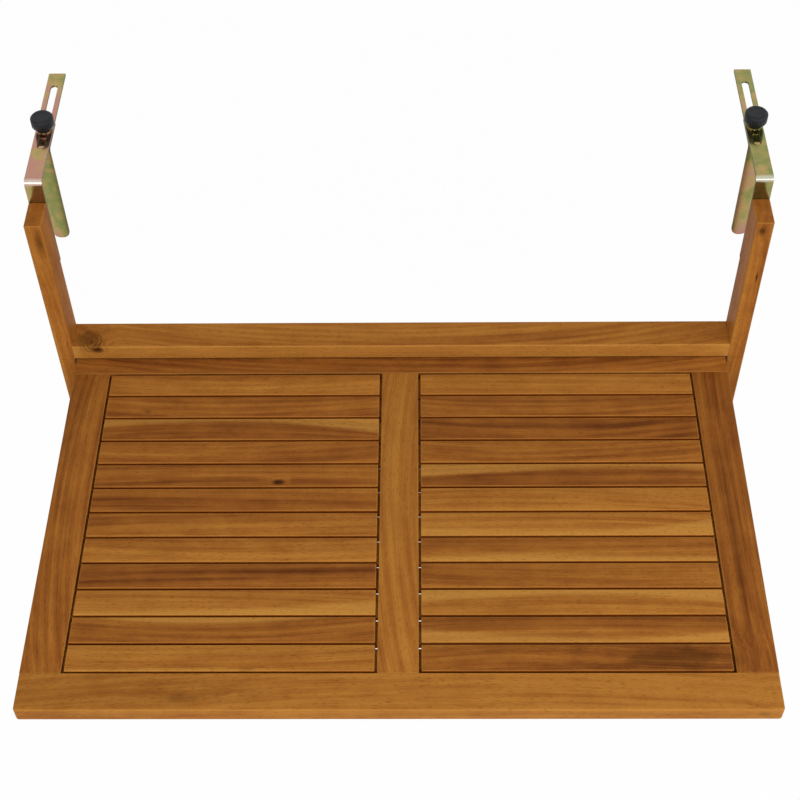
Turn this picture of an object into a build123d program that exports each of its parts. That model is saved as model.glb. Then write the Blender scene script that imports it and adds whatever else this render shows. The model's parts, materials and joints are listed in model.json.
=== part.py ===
"""A folding balcony table that hangs on a railing.

X runs along the railing, Y points from the table to the railing and Z is up. The origin is the
railing's front top edge, midway between the two clamps.
"""

import os
from math import cos, radians, sin, tan

from build123d import *

os.makedirs("parts", exist_ok=True)

# Tabletop
top_width = 600
top_depth = 380
board = 15
frame_width = 33
slat_count = 12
slat_gap = 1.8
row_end_gap = 1.8
slat_thickness = 12
shoulder_gap = 2
groove_depth = 9
groove_width = 5
groove_drop = 8
tongue_clearance = 0.2
tongue_end_gap = 1
tongue_inset = 0.9
slat_ease = 0.6
edge_ease = 1.5
end_ease = 0.8
corner_round = 3

# Hanging frame
seat_drop = 190
side_gap = 2
arm_width = 15
arm_depth = 30
arm_rise = 169
arm_tail = 30
back_rail_height = 16
back_rail_gap = 1

# Folding prop under the tabletop
prop_length = 190
prop_lean = 36
prop_width = 18
prop_clearance = 0.5
tip_clearance = 0.3
bar_height = 30
bar_place = 115
cleat_ramp = 10
cleat_length = 32
cleat_screw_share = 0.75

# Railing clamps
strap_thickness = 2
strap_width = 15
strap_reach = 144
strap_leg = 70
strap_bend = 2
strap_corner = 0.8
slot_start = 41
slot_end = 127
slot_width = 6.4
railing_gap = 43
tongue_drop = 106
tongue_corner = 7
hook_clearance = 0.1
hook_tail = 12
knob_offset = 23
knob_diameter = 20
knob_height = 10
knob_flutes = 18
flute_radius = 1.1
flute_depth = 0.4
neck_diameter = 12
neck_height = 4
knob_bevel = 1.4
stud_in_knob = 8
stud_tail = 3

# Fasteners
bolt_diameter = 6
bolt_head_diameter = 10
bolt_head_height = 5
pin_clearance = 0.05
fit_clearance = 0.02
bolt_in_rail = 20
insert_diameter = 9
insert_length = 18
nut_across = 10
nut_height = 5
washer_diameter = 13
clamp_washer_thickness = 1
washer_play = 0.1
screw_diameter = 3.5
screw_head_diameter = 7
rail_screw_length = 45
bracket_screw_length = 24
bracket_screw_drop = 19
bracket_screw_spacing = 36
cleat_screw_length = 14
prop_screw_bite = 30
dowel_diameter = 6
dowel_offset = 4
dowel_margin = 1

# Places that follow from the sizes
arm_back = -strap_thickness
arm_front = arm_back - arm_depth
table_z = -seat_drop
under_z = table_z - board
pivot_y = arm_front + board / 2
pivot_z = table_z - board / 2
top_back = pivot_y + board / 2
top_front = top_back - top_depth
opening_front = top_front + frame_width
opening_depth = top_depth - 2 * frame_width
opening_width = (top_width - 3 * frame_width) / 2
panel_x = (frame_width + opening_width) / 2
stile_x = (top_width - frame_width) / 2
slat_pitch = (opening_depth - 2 * row_end_gap + slat_gap) / slat_count
slat_width = slat_pitch - slat_gap
first_slat_y = opening_front + row_end_gap + slat_width / 2
slat_length = opening_width - 2 * shoulder_gap
tongue_length = shoulder_gap + groove_depth - tongue_end_gap
groove_z = table_z - groove_drop
dowel_length = 2 * (frame_width - (board + insert_diameter) / 2 - dowel_margin)
arm_inside = top_width / 2 + side_gap
arm_x = arm_inside + arm_width / 2
arm_outside = arm_inside + arm_width
arm_top = table_z + arm_rise
prop_thickness = arm_depth - board - 2 * prop_clearance
prop_y = arm_back - (arm_depth - board) / 2
prop_outside = top_width / 2
prop_inside = prop_outside - prop_width
tip_height = prop_thickness / 2 + tip_clearance
prop_z = under_z - tip_height - prop_length * cos(radians(prop_lean))
tip_y = prop_y - prop_length * sin(radians(prop_lean))
arm_bottom = prop_z - arm_tail
knob_y = railing_gap + knob_offset
washer_top = strap_thickness + washer_play + clamp_washer_thickness
neck_bottom = washer_top + washer_play
knob_bottom = neck_bottom + neck_height
hook_top = -hook_clearance
hook_bottom = hook_top - strap_thickness
nut_bottom = hook_bottom - nut_height
upper_screw_z = arm_top - bracket_screw_drop
bracket_screw_heights = (upper_screw_z, upper_screw_z - bracket_screw_spacing)

sides = {"left": -1, "right": 1}


def write(piece, name):
    """Label a finished piece and write it to its own file."""
    piece.part.label = name
    export_step(piece.part, f"parts/{name}.step")


def outward(side, x, y, z):
    """A plane at the given place on one side, with its normal pointing away from the table's middle."""
    return Plane(origin=(sides[side] * x, y, z), x_dir=(0, 1, 0), z_dir=(sides[side], 0, 0))


def screw(plane, length, clearance=0):
    """A countersunk wood screw. The plane lies on its head and points out of it."""
    shank = screw_diameter / 2 + clearance
    head = screw_head_diameter / 2 + clearance
    sink = head - shank
    with BuildPart(plane) as item:
        Cone(shank, head, sink, align=(Align.CENTER, Align.CENTER, Align.MAX))
        Cylinder(shank, length + clearance, align=(Align.CENTER, Align.CENTER, Align.MAX))
    return item.part


def bolt(plane, length, clearance=0):
    """A bolt with a sunk round head. The plane lies on its head and points out of it."""
    align = (Align.CENTER, Align.CENTER, Align.MAX)
    with BuildPart(plane) as item:
        Cylinder(bolt_head_diameter / 2 + clearance, bolt_head_height + clearance, align=align)
        Cylinder(bolt_diameter / 2 + clearance, length + clearance, align=align)
    return item.part


def ring(plane, outer, inner, height, lift=0):
    """A plain ring that stands on the plane."""
    with BuildPart(plane) as item:
        with BuildSketch(plane.offset(lift)):
            Circle(outer)
            Circle(inner, mode=Mode.SUBTRACT)
        extrude(amount=height)
    return item.part


def group(pieces, name):
    """Write several like pieces as one node of separate solids."""
    with BuildPart() as item:
        for piece in pieces:
            add(piece)
    write(item, name)


# Where the fasteners go
back_rail_mid_z = table_z + back_rail_gap + back_rail_height / 2
back_rail_mid_y = (arm_front + arm_back) / 2
rail_screw_planes = [
    outward(side, arm_outside, back_rail_mid_y + step, back_rail_mid_z)
    for side in sides
    for step in (-arm_depth / 4, arm_depth / 4)
]
bracket_screw_planes = {
    side: [
        Plane(origin=(sides[side] * arm_x, 0, z), x_dir=(1, 0, 0), z_dir=(0, 1, 0))
        for z in bracket_screw_heights
    ]
    for side in sides
}
pivot_planes = {side: outward(side, arm_outside, pivot_y, pivot_z) for side in sides}
pivot_bolt_length = arm_width + side_gap + bolt_in_rail
prop_planes = {side: outward(side, arm_outside, prop_y, prop_z) for side in sides}
prop_bolt_length = arm_width + side_gap + prop_width + nut_height
lean = radians(prop_lean)
bar_y = prop_y - bar_place * sin(lean)
bar_z = prop_z + bar_place * cos(lean)
prop_screw_length = prop_width + prop_screw_bite
prop_screw_planes = [
    outward(side, prop_outside, bar_y - step * sin(lean), bar_z + step * cos(lean))
    for side in sides
    for step in (-bar_height / 4, bar_height / 4)
]
cleat_start = tip_y - tip_height * tan(radians(cleat_ramp) / 2)
cleat_height = cleat_length * tan(radians(cleat_ramp))
cleat_x = (prop_inside + prop_outside) / 2
cleat_screw_y = cleat_start - cleat_screw_share * cleat_length
cleat_screw_z = under_z - cleat_screw_share * cleat_height
cleat_screw_planes = [
    Plane(origin=(sides[side] * cleat_x, cleat_screw_y, cleat_screw_z), z_dir=(0, 0, -1)) for side in sides
]
dowel_planes = {
    joint_y: [
        Plane(origin=(x + step, joint_y, pivot_z), z_dir=(0, 1, 0))
        for x in (-stile_x, 0, stile_x)
        for step in (-dowel_offset, dowel_offset)
    ]
    for joint_y in (opening_front, opening_front + opening_depth)
}


def dowel(plane, clearance=0):
    """A wooden dowel across a joint of the tabletop's frame."""
    with BuildPart(plane) as item:
        Cylinder(dowel_diameter / 2 + clearance, dowel_length + 2 * clearance)
    return item.part


dowels = [plane for planes in dowel_planes.values() for plane in planes]


# Front rail of the tabletop
with BuildPart() as front_rail:
    with BuildSketch(Plane.XY.offset(under_z)):
        with Locations((0, top_front + frame_width / 2)):
            Rectangle(top_width, frame_width)
    extrude(amount=board)
    fillet(front_rail.edges().filter_by(Axis.Z).group_by(Axis.Y)[0], corner_round)
    fillet(front_rail.edges().filter_by(Axis.X).group_by(Axis.Y)[0], edge_ease)
    for plane in dowel_planes[opening_front]:
        add(dowel(plane, fit_clearance), mode=Mode.SUBTRACT)
write(front_rail, "front_rail")

# Rear rail, with a half-round back edge that turns under the back rail
with BuildPart() as rear_rail:
    with BuildSketch(Plane.YZ.offset(-top_width / 2)):
        with BuildLine():
            Polyline(
                (pivot_y, table_z),
                (top_back - frame_width, table_z),
                (top_back - frame_width, under_z),
                (pivot_y, under_z),
            )
            ThreePointArc((pivot_y, under_z), (top_back, pivot_z), (pivot_y, table_z))
        make_face()
    extrude(amount=top_width)
    for plane in dowel_planes[opening_front + opening_depth]:
        add(dowel(plane, fit_clearance), mode=Mode.SUBTRACT)
    for side in sides:
        seat = outward(side, top_width / 2, pivot_y, pivot_z)
        with BuildSketch(seat):
            Circle(insert_diameter / 2 + fit_clearance)
        extrude(amount=-(bolt_in_rail + tongue_end_gap), mode=Mode.SUBTRACT)
write(rear_rail, "rear_rail")


def stile(name, x, grooved_sides):
    """A bar of the frame between the rails, grooved where slats meet it."""
    with BuildPart() as item:
        with BuildSketch(Plane.XY.offset(under_z)):
            with Locations((x, opening_front + opening_depth / 2)):
                Rectangle(frame_width, opening_depth)
        extrude(amount=board)
        for grooved in grooved_sides:
            groove_x = x + grooved * (frame_width - groove_depth) / 2
            with BuildSketch(Plane.XY.offset(groove_z - groove_width / 2)):
                with Locations((groove_x, opening_front + opening_depth / 2)):
                    Rectangle(groove_depth, opening_depth)
            extrude(amount=groove_width, mode=Mode.SUBTRACT)
        for plane in dowels:
            add(dowel(plane, fit_clearance), mode=Mode.SUBTRACT)
        for plane in cleat_screw_planes:
            add(screw(plane, cleat_screw_length, fit_clearance), mode=Mode.SUBTRACT)
    write(item, name)


stile("left_stile", -stile_x, (1,))
stile("centre_stile", 0, (-1, 1))
stile("right_stile", stile_x, (-1,))


def slat(name, x, y):
    """A slat with eased edges and a tongue on each end."""
    with BuildPart() as item:
        with BuildSketch(Plane.XY.offset(table_z - slat_thickness)):
            with Locations((x, y)):
                Rectangle(slat_length, slat_width)
        extrude(amount=slat_thickness)
        chamfer(item.faces().sort_by(Axis.Z)[-1].edges(), slat_ease)
        with BuildSketch(Plane.XY.offset(groove_z - groove_width / 2 + tongue_clearance)):
            with Locations((x, y)):
                Rectangle(slat_length + 2 * tongue_length, slat_width - 2 * tongue_inset)
        extrude(amount=groove_width - 2 * tongue_clearance)
    write(item, name)


for side, sign in sides.items():
    for number in range(slat_count):
        slat(f"{side}_slat_{number + 1:02d}", sign * panel_x, first_slat_y + slat_pitch * number)

group([dowel(plane) for plane in dowels], "frame_dowels")
group(
    [
        ring(outward(side, top_width / 2, pivot_y, pivot_z), insert_diameter / 2,
             bolt_diameter / 2 + pin_clearance, insert_length, -insert_length)
        for side in sides
    ],
    "pivot_inserts",
)

# Stop cleats, two wedges that the prop's tips bear against
with BuildPart() as stop_cleats:
    for side, sign in sides.items():
        with BuildSketch(Plane.YZ.offset(sign * cleat_x)):
            with BuildLine():
                Polyline(
                    (cleat_start, under_z),
                    (cleat_start - cleat_length, under_z),
                    (cleat_start - cleat_length, under_z - cleat_height),
                    close=True,
                )
            make_face()
        extrude(amount=prop_width / 2, both=True)
    for plane in cleat_screw_planes:
        add(screw(plane, cleat_screw_length, fit_clearance), mode=Mode.SUBTRACT)
        with BuildSketch(plane):
            Circle(screw_head_diameter / 2 + fit_clearance)
        extrude(amount=cleat_height, mode=Mode.SUBTRACT)
write(stop_cleats, "stop_cleats")
group([screw(plane, cleat_screw_length) for plane in cleat_screw_planes], "cleat_screws")


def arm(name, side):
    """An upright of the hanging frame."""
    with BuildPart() as item:
        with BuildSketch(Plane.XY.offset(arm_bottom)):
            with Locations((sides[side] * arm_x, (arm_front + arm_back) / 2)):
                Rectangle(arm_width, arm_depth)
        extrude(amount=arm_top - arm_bottom)
        fillet(item.edges().filter_by(Axis.Z).group_by(Axis.Y)[0], edge_ease)
        chamfer(item.faces().sort_by(Axis.Z)[-1].edges(), end_ease)
        for plane in rail_screw_planes:
            add(screw(plane, rail_screw_length, fit_clearance), mode=Mode.SUBTRACT)
        for plane in bracket_screw_planes[side]:
            add(screw(plane, bracket_screw_length, fit_clearance), mode=Mode.SUBTRACT)
        add(bolt(pivot_planes[side], pivot_bolt_length, pin_clearance), mode=Mode.SUBTRACT)
        add(bolt(prop_planes[side], prop_bolt_length, pin_clearance), mode=Mode.SUBTRACT)
    write(item, name)


for side in sides:
    arm(f"{side}_arm", side)

# Back rail, between the arms and just above the tabletop's rear edge
with BuildPart() as back_rail:
    with BuildSketch(Plane.XY.offset(table_z + back_rail_gap)):
        with Locations((0, back_rail_mid_y)):
            Rectangle(2 * arm_inside, arm_depth)
    extrude(amount=back_rail_height)
    fillet(back_rail.edges().filter_by(Axis.X).group_by(Axis.Z)[-1], edge_ease)
    for plane in rail_screw_planes:
        add(screw(plane, rail_screw_length, fit_clearance), mode=Mode.SUBTRACT)
write(back_rail, "back_rail")
group([screw(plane, rail_screw_length) for plane in rail_screw_planes], "rail_screws")


def bracket(name, side):
    """A bent steel strap with a long slot: its leg is screwed to the arm and its top lies on the railing."""
    x = sides[side] * arm_x
    with BuildPart() as item:
        with BuildSketch(Plane.YZ.offset(x)):
            with BuildLine():
                Polyline(
                    (arm_back, arm_top - strap_leg),
                    (arm_back, strap_thickness),
                    (strap_reach, strap_thickness),
                    (strap_reach, 0),
                    (0, 0),
                    (0, arm_top - strap_leg),
                    close=True,
                )
            make_face()
        extrude(amount=strap_width / 2, both=True)
        bend = item.edges().filter_by(Axis.X)
        fillet(bend.sort_by_distance((x, arm_back, strap_thickness))[0], strap_bend + strap_thickness)
        bend = item.edges().filter_by(Axis.X)
        fillet(bend.sort_by_distance((x, 0, 0))[0], strap_bend)
        fillet(item.edges().filter_by(Axis.Z).group_by(Axis.Y)[-1], strap_corner)
        with BuildSketch(Plane.XY):
            with Locations((x, (slot_start + slot_end) / 2)):
                SlotOverall(slot_end - slot_start, slot_width, rotation=90)
        extrude(amount=strap_thickness, mode=Mode.SUBTRACT)
        for plane in bracket_screw_planes[side]:
            add(screw(plane, bracket_screw_length, fit_clearance), mode=Mode.SUBTRACT)
    write(item, name)


for side in sides:
    bracket(f"{side}_bracket", side)
group(
    [screw(plane, bracket_screw_length) for planes in bracket_screw_planes.values() for plane in planes],
    "bracket_screws",
)

# Pivots of the tabletop and of the prop
group([bolt(plane, pivot_bolt_length) for plane in pivot_planes.values()], "pivot_bolts")
group([bolt(plane, prop_bolt_length) for plane in prop_planes.values()], "prop_bolts")
washer_height = side_gap - 2 * washer_play
washer_hole = bolt_diameter / 2 + pin_clearance
group(
    [
        ring(plane, washer_diameter / 2, washer_hole, washer_height, -arm_width - side_gap + washer_play)
        for plane in pivot_planes.values()
    ],
    "pivot_washers",
)
group(
    [
        ring(plane, washer_diameter / 2, washer_hole, washer_height, -arm_width - side_gap + washer_play)
        for plane in prop_planes.values()
    ],
    "prop_washers",
)
with BuildPart() as prop_nuts:
    for side in sides:
        with BuildSketch(outward(side, prop_inside - washer_play, prop_y, prop_z)):
            RegularPolygon(nut_across / 2, 6, major_radius=False)
            Circle(washer_hole, mode=Mode.SUBTRACT)
        extrude(amount=-nut_height)
write(prop_nuts, "prop_nuts")


def strut(name, side):
    """One side of the prop, round at both ends."""
    sign = sides[side]
    with BuildPart() as item:
        with BuildSketch(Plane.YZ.offset(sign * (prop_inside + prop_outside) / 2)):
            with Locations(((prop_y + tip_y) / 2, (prop_z + under_z - tip_height) / 2)):
                SlotCenterToCenter(prop_length, prop_thickness, rotation=90 + prop_lean)
        extrude(amount=prop_width / 2, both=True)
        add(bolt(prop_planes[side], prop_bolt_length, pin_clearance), mode=Mode.SUBTRACT)
        for plane in prop_screw_planes:
            add(screw(plane, prop_screw_length, fit_clearance), mode=Mode.SUBTRACT)
    write(item, name)


for side in sides:
    strut(f"{side}_strut", side)

# Bar between the struts
with BuildPart() as prop_bar:
    with BuildSketch(Plane.YZ.offset(-prop_inside)):
        with Locations((bar_y, bar_z)):
            Rectangle(prop_thickness, bar_height, rotation=prop_lean)
    extrude(amount=2 * prop_inside)
    fillet(prop_bar.edges().filter_by(Axis.X), edge_ease)
    for plane in prop_screw_planes:
        add(screw(plane, prop_screw_length, fit_clearance), mode=Mode.SUBTRACT)
write(prop_bar, "prop_bar")
group([screw(plane, prop_screw_length) for plane in prop_screw_planes], "prop_screws")


def hook(name, side):
    """A bent strap that hangs behind the railing and slides along the bracket's slot."""
    x = sides[side] * arm_x
    with BuildPart() as item:
        with BuildSketch(Plane.YZ.offset(x)):
            with BuildLine():
                Polyline(
                    (railing_gap, -tongue_drop),
                    (railing_gap, hook_top),
                    (knob_y + hook_tail, hook_top),
                    (knob_y + hook_tail, hook_bottom),
                    (railing_gap + strap_thickness, hook_bottom),
                    (railing_gap + strap_thickness, -tongue_drop),
                    close=True,
                )
            make_face()
        extrude(amount=strap_width / 2, both=True)
        bend = item.edges().filter_by(Axis.X)
        fillet(bend.sort_by_distance((x, railing_gap, hook_top))[0], strap_bend + strap_thickness)
        bend = item.edges().filter_by(Axis.X)
        fillet(bend.sort_by_distance((x, railing_gap + strap_thickness, hook_bottom))[0], strap_bend)
        fillet(item.edges().filter_by(Axis.Y).group_by(Axis.Z)[0], tongue_corner)
        with BuildSketch(Plane.XY.offset(hook_bottom)):
            with Locations((x, knob_y)):
                Circle(bolt_diameter / 2 + pin_clearance)
        extrude(amount=strap_thickness, mode=Mode.SUBTRACT)
    write(item, name)


def clamp_nut(name, side):
    """The square nut that is fixed under the hook."""
    with BuildPart() as item:
        with BuildSketch(Plane.XY.offset(nut_bottom)):
            with Locations((sides[side] * arm_x, knob_y)):
                Rectangle(nut_across, nut_across)
                Circle(bolt_diameter / 2 + pin_clearance, mode=Mode.SUBTRACT)
        extrude(amount=nut_height)
    write(item, name)


def clamp_washer(name, side):
    """The washer between the knob and the slotted strap."""
    with BuildPart() as item:
        with BuildSketch(Plane.XY.offset(strap_thickness + washer_play)):
            with Locations((sides[side] * arm_x, knob_y)):
                Circle(washer_diameter / 2)
                Circle(bolt_diameter / 2 + pin_clearance, mode=Mode.SUBTRACT)
        extrude(amount=clamp_washer_thickness)
    write(item, name)


def knob(name, side):
    """A fluted clamping knob on a narrow neck."""
    with BuildPart() as item:
        with BuildSketch(Plane.XY.offset(neck_bottom)):
            with Locations((sides[side] * arm_x, knob_y)):
                Circle(neck_diameter / 2)
        extrude(amount=neck_height)
        with BuildSketch(Plane.XY.offset(knob_bottom)):
            with Locations((sides[side] * arm_x, knob_y)):
                Circle(knob_diameter / 2)
        extrude(amount=knob_height)
        chamfer(item.edges().group_by(Axis.Z)[-1], knob_bevel)
        with BuildSketch(Plane.XY.offset(knob_bottom)):
            with Locations((sides[side] * arm_x, knob_y)):
                with PolarLocations(knob_diameter / 2 + flute_radius - flute_depth, knob_flutes):
                    Circle(flute_radius)
        extrude(amount=knob_height, mode=Mode.SUBTRACT)
        with BuildSketch(Plane.XY.offset(neck_bottom)):
            with Locations((sides[side] * arm_x, knob_y)):
                Circle(bolt_diameter / 2 + fit_clearance)
        extrude(amount=stud_in_knob, mode=Mode.SUBTRACT)
    write(item, name)


def stud(name, side):
    """The threaded stud that is moulded into the knob and runs through the slot into the nut."""
    with BuildPart() as item:
        with BuildSketch(Plane.XY.offset(nut_bottom - stud_tail)):
            with Locations((sides[side] * arm_x, knob_y)):
                Circle(bolt_diameter / 2)
        extrude(amount=neck_bottom + stud_in_knob - nut_bottom + stud_tail)
    write(item, name)


for side in sides:
    hook(f"{side}_hook", side)
    clamp_nut(f"{side}_clamp_nut", side)
    clamp_washer(f"{side}_clamp_washer", side)
    knob(f"{side}_knob", side)
    stud(f"{side}_stud", side)
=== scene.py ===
"""Looks of a folding balcony table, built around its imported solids.

X runs along the railing, Y points from the table to the railing and Z is up, in metres.
"""

import json
import math
import random
from collections import namedtuple

import bmesh
import bpy
from bpy.props import FloatProperty, FloatVectorProperty, IntProperty, PointerProperty
from mathutils import Matrix, Vector


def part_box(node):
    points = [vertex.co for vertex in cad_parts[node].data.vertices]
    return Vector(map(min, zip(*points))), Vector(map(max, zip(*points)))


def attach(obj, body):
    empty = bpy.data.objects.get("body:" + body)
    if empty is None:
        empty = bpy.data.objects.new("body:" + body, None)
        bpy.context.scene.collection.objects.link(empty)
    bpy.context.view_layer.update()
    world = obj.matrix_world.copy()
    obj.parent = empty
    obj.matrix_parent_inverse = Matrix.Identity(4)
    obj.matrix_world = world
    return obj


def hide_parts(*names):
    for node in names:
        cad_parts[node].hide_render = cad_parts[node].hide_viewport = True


bl_info = {
    "name": "Folding Balcony Table",
    "version": (1, 0, 0),
    "blender": (4, 5, 0),
    "location": "3D View > Sidebar > Balcony Table",
    "description": "Dresses a folding balcony table in oiled wood, plated straps and black knobs",
    "category": "Object",
}

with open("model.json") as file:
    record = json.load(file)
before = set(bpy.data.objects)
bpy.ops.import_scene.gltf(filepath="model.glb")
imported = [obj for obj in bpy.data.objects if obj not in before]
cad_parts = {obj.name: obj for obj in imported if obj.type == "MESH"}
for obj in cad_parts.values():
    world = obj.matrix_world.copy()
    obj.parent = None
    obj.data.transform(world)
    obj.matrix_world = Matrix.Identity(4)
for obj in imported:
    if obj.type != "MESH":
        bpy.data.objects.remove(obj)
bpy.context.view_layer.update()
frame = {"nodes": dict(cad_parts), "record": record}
bodies_of_nodes = {
    node: body for body, nodes in frame["record"]["behaviour"]["bodies"].items() for node in nodes
}
sides = {"left": -1, "right": 1}
slat_nodes = sorted(node for node in frame["nodes"] if "_slat_" in node)
slats_per_panel = len(slat_nodes) // len(sides)

# Tolerances of the mesh work, in metres and radians
same_point = 1e-6
sliver_edge = 2e-6
flat_angle = math.radians(0.5)
sharp_angle = math.radians(50)

# Shares of a face's normal along an axis: square to it, mostly facing it, hardly facing it
square, mostly, hardly = 0.97, 0.7, 0.3

full_turn = 2 * math.pi


def size_of(node):
    """A node's length along each axis."""
    low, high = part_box(node)
    return Vector(high) - Vector(low)


def middle_of(node):
    """The middle of a node's box."""
    low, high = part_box(node)
    return (Vector(low) + Vector(high)) / 2


def colour(name, description, default):
    """A colour that the user can change."""
    return FloatVectorProperty(
        name=name, description=description, subtype="COLOR", size=3, min=0, max=1, default=default
    )


def length(name, description, default):
    """A length that the user can change."""
    return FloatProperty(
        name=name, description=description, subtype="DISTANCE", unit="LENGTH", min=0, precision=5,
        default=default,
    )


class WoodSettings(bpy.types.PropertyGroup):
    """Colours and grain of the oiled boards."""

    dark: colour("Dark streaks", "Colour of the darkest streaks", (0.120, 0.033, 0.0070))
    brown: colour("Brown wood", "Colour of the darker wood", (0.250, 0.078, 0.0135))
    amber: colour("Amber wood", "Colour of most of the wood", (0.348, 0.121, 0.0195))
    honey: colour("Honey wood", "Colour of the lighter wood", (0.465, 0.188, 0.031))
    sapwood: colour("Sapwood", "Colour of the pale outer wood", (0.56, 0.26, 0.050))
    # The knots' colour also paints the shadow of the back rail on the rear rail
    knot_and_shade: colour("Knots", "Colour of the knots", (0.040, 0.012, 0.003))
    # Painted shade for the slats' sides down in the gaps between them
    gap_shade: colour("Painted gap shade", "Colour of the shade painted on the slats' sides in the gaps", (0.205, 0.036, 0.0006))
    board_spread: FloatProperty(
        name="Spread", description="How much the boards differ in tone", subtype="FACTOR",
        min=0, max=1, default=0.34,
    )
    sheen: FloatProperty(
        name="Oil sheen", description="How much the oiled surface shines", subtype="FACTOR",
        min=0, max=1, default=0.03,
    )
    ease: length("Edge ease", "Radius that is sanded on the boards' sharp edges", 0.0006)


class SlatSettings(bpy.types.PropertyGroup):
    """The slats in the two panels of the top."""

    ease: length("Slat ease", "Radius that is sanded on the slats' edges", 0.0009)
    tongue_inset: length("Tongue inset", "How far a tongue stands in from the slat's sides", 0.0009)
    seed: IntProperty(name="Slat seed", description="Picks each slat's tone and streaks", default=7)


class PlateSettings(bpy.types.PropertyGroup):
    """The yellow passivated straps and the other metal."""

    gold: colour("Gold", "Main colour of the passivated zinc", (0.43, 0.30, 0.100))
    olive: colour("Olive", "Greenish bands of the passivated zinc", (0.207, 0.240, 0.062))
    rose: colour("Rose", "Pinkish bands of the passivated zinc", (0.46, 0.225, 0.165))
    # Also paints the highlight on the straps' bends
    bare_and_highlight: colour("Bare zinc", "Colour where the passivation is rubbed off", (0.74, 0.71, 0.60))
    shorn: colour("Shorn edges", "Colour of the straps' cut edges", (0.105, 0.092, 0.050))
    steel: colour("Fasteners", "Colour of the screws, bolts and nuts", (0.60, 0.53, 0.36))
    burr: length("Strap edges", "Radius left on the straps' cut edges", 0.00025)


class KnobSettings(bpy.types.PropertyGroup):
    """The two clamping knobs."""

    black: colour("Black", "Colour of the moulded knobs", (0.0070, 0.0078, 0.0100))
    flutes: IntProperty(name="Flutes", description="Grooves round the rim of a knob", min=3, default=18)
    flute_depth: length("Flute depth", "Depth of the grooves round the rim", 0.00025)
    pitch: length("Thread pitch", "Distance between the threads of a stud", 0.001)


class StageSettings(bpy.types.PropertyGroup):
    """Floor, light and camera."""

    floor_height: length("Floor drop", "How far the floor lies under the railing's top", 0.91)
    ambient: FloatProperty(name="Ambient", description="Light from all round", min=0, default=0.56)
    key: FloatProperty(name="Key", description="Power of the main lamp in watts", min=0, default=26)
    fill: FloatProperty(name="Fill", description="Power of the side lamp in watts", min=0, default=9)
    lens: FloatProperty(name="Lens", description="Focal length in millimetres", min=1, default=70.38)


class TableSettings(bpy.types.PropertyGroup):
    """All settings of the table."""

    wood: PointerProperty(type=WoodSettings)
    slats: PointerProperty(type=SlatSettings)
    plate: PointerProperty(type=PlateSettings)
    knobs: PointerProperty(type=KnobSettings)
    stage: PointerProperty(type=StageSettings)


class Value:
    """An output in a node tree that takes part in Python expressions."""

    def __init__(self, tree, socket):
        self.tree = tree
        self.socket = socket

    def math(self, operation, *others):
        """A Math node of this value and others."""
        return self.tree.math(operation, self, *others)

    def __add__(self, other):
        return self.math("ADD", other)

    def __sub__(self, other):
        return self.math("SUBTRACT", other)

    def __mul__(self, other):
        return self.math("MULTIPLY", other)

    def __radd__(self, other):
        return self.tree.math("ADD", other, self)

    def __rsub__(self, other):
        return self.tree.math("SUBTRACT", other, self)

    def __rmul__(self, other):
        return self.tree.math("MULTIPLY", other, self)


class Tree:
    """A node tree to which nodes are added by type, settings and sockets."""

    def __init__(self, tree):
        self.tree = tree

    def node(self, kind, settings=None, inputs=None, output=0):
        """Add a node and return one of its outputs."""
        made = self.tree.nodes.new(kind)
        for key, setting in (settings or {}).items():
            if key == "stops":
                self.fill_ramp(made.color_ramp, setting)
            else:
                setattr(made, key, setting)
        for key, given in (inputs or {}).items():
            if isinstance(given, Value):
                self.tree.links.new(given.socket, made.inputs[key])
            else:
                made.inputs[key].default_value = given
        return Value(self, made.outputs[output]) if made.outputs else made

    @staticmethod
    def fill_ramp(ramp, stops):
        """Give a colour ramp its stops."""
        while len(ramp.elements) < len(stops):
            ramp.elements.new(1)
        for element, (place, shade) in zip(ramp.elements, stops):
            element.position = place
            element.color = (*shade, 1)

    def math(self, operation, *values):
        """A Math node."""
        return self.node("ShaderNodeMath", {"operation": operation}, dict(enumerate(values)))

    def vector_math(self, operation, *values):
        """A Vector Math node with a vector result."""
        return self.node("ShaderNodeVectorMath", {"operation": operation}, dict(enumerate(values)))

    def length(self, vector):
        """How long a vector is."""
        return self.node("ShaderNodeVectorMath", {"operation": "LENGTH"}, {0: vector}, output="Value")

    def axes(self, vector):
        """The x, y and z of a vector."""
        parts = self.node("ShaderNodeSeparateXYZ", None, {0: vector}).socket.node
        return [Value(self, output) for output in parts.outputs]

    def place(self):
        """Where a point lies in the object."""
        return self.node("ShaderNodeTexCoord", output="Object")

    def attribute(self, name, output="Fac"):
        """What the mesh stores under a name."""
        return self.node("ShaderNodeAttribute", {"attribute_name": name}, output=output)

    def stretched(self, vector, scales, **options):
        """A noise with its own scale along each axis."""
        return self.noise(self.vector_math("MULTIPLY", vector, scales), **options)

    def noise(self, vector, scale=1.0, detail=2.0, roughness=0.5):
        """A noise between 0 and 1."""
        return self.node(
            "ShaderNodeTexNoise", None,
            {"Vector": vector, "Scale": scale, "Detail": detail, "Roughness": roughness}, output="Fac",
        )

    def step(self, value, start, end):
        """A smooth step from 0 at the start to 1 at the end."""
        return self.node(
            "ShaderNodeMapRange", {"interpolation_type": "SMOOTHSTEP"},
            {"Value": value, "From Min": start, "From Max": end},
        )

    def mix(self, factor, first, second):
        """A blend of two colours."""
        colours = [c if isinstance(c, Value) else (*c, 1) for c in (first, second)]
        return self.node(
            "ShaderNodeMix", {"data_type": "RGBA", "clamp_factor": True},
            {0: factor, 6: colours[0], 7: colours[1]}, output=2,
        )

    def ramp(self, factor, *stops):
        """A colour that runs through stops of (place, shade)."""
        return self.node("ShaderNodeValToRGB", {"stops": stops}, {"Fac": factor}, output="Color")

    def bump(self, height, strength, depth):
        """A normal that follows a height."""
        return self.node(
            "ShaderNodeBump", None, {"Strength": strength, "Distance": depth, "Height": height}
        )


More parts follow.
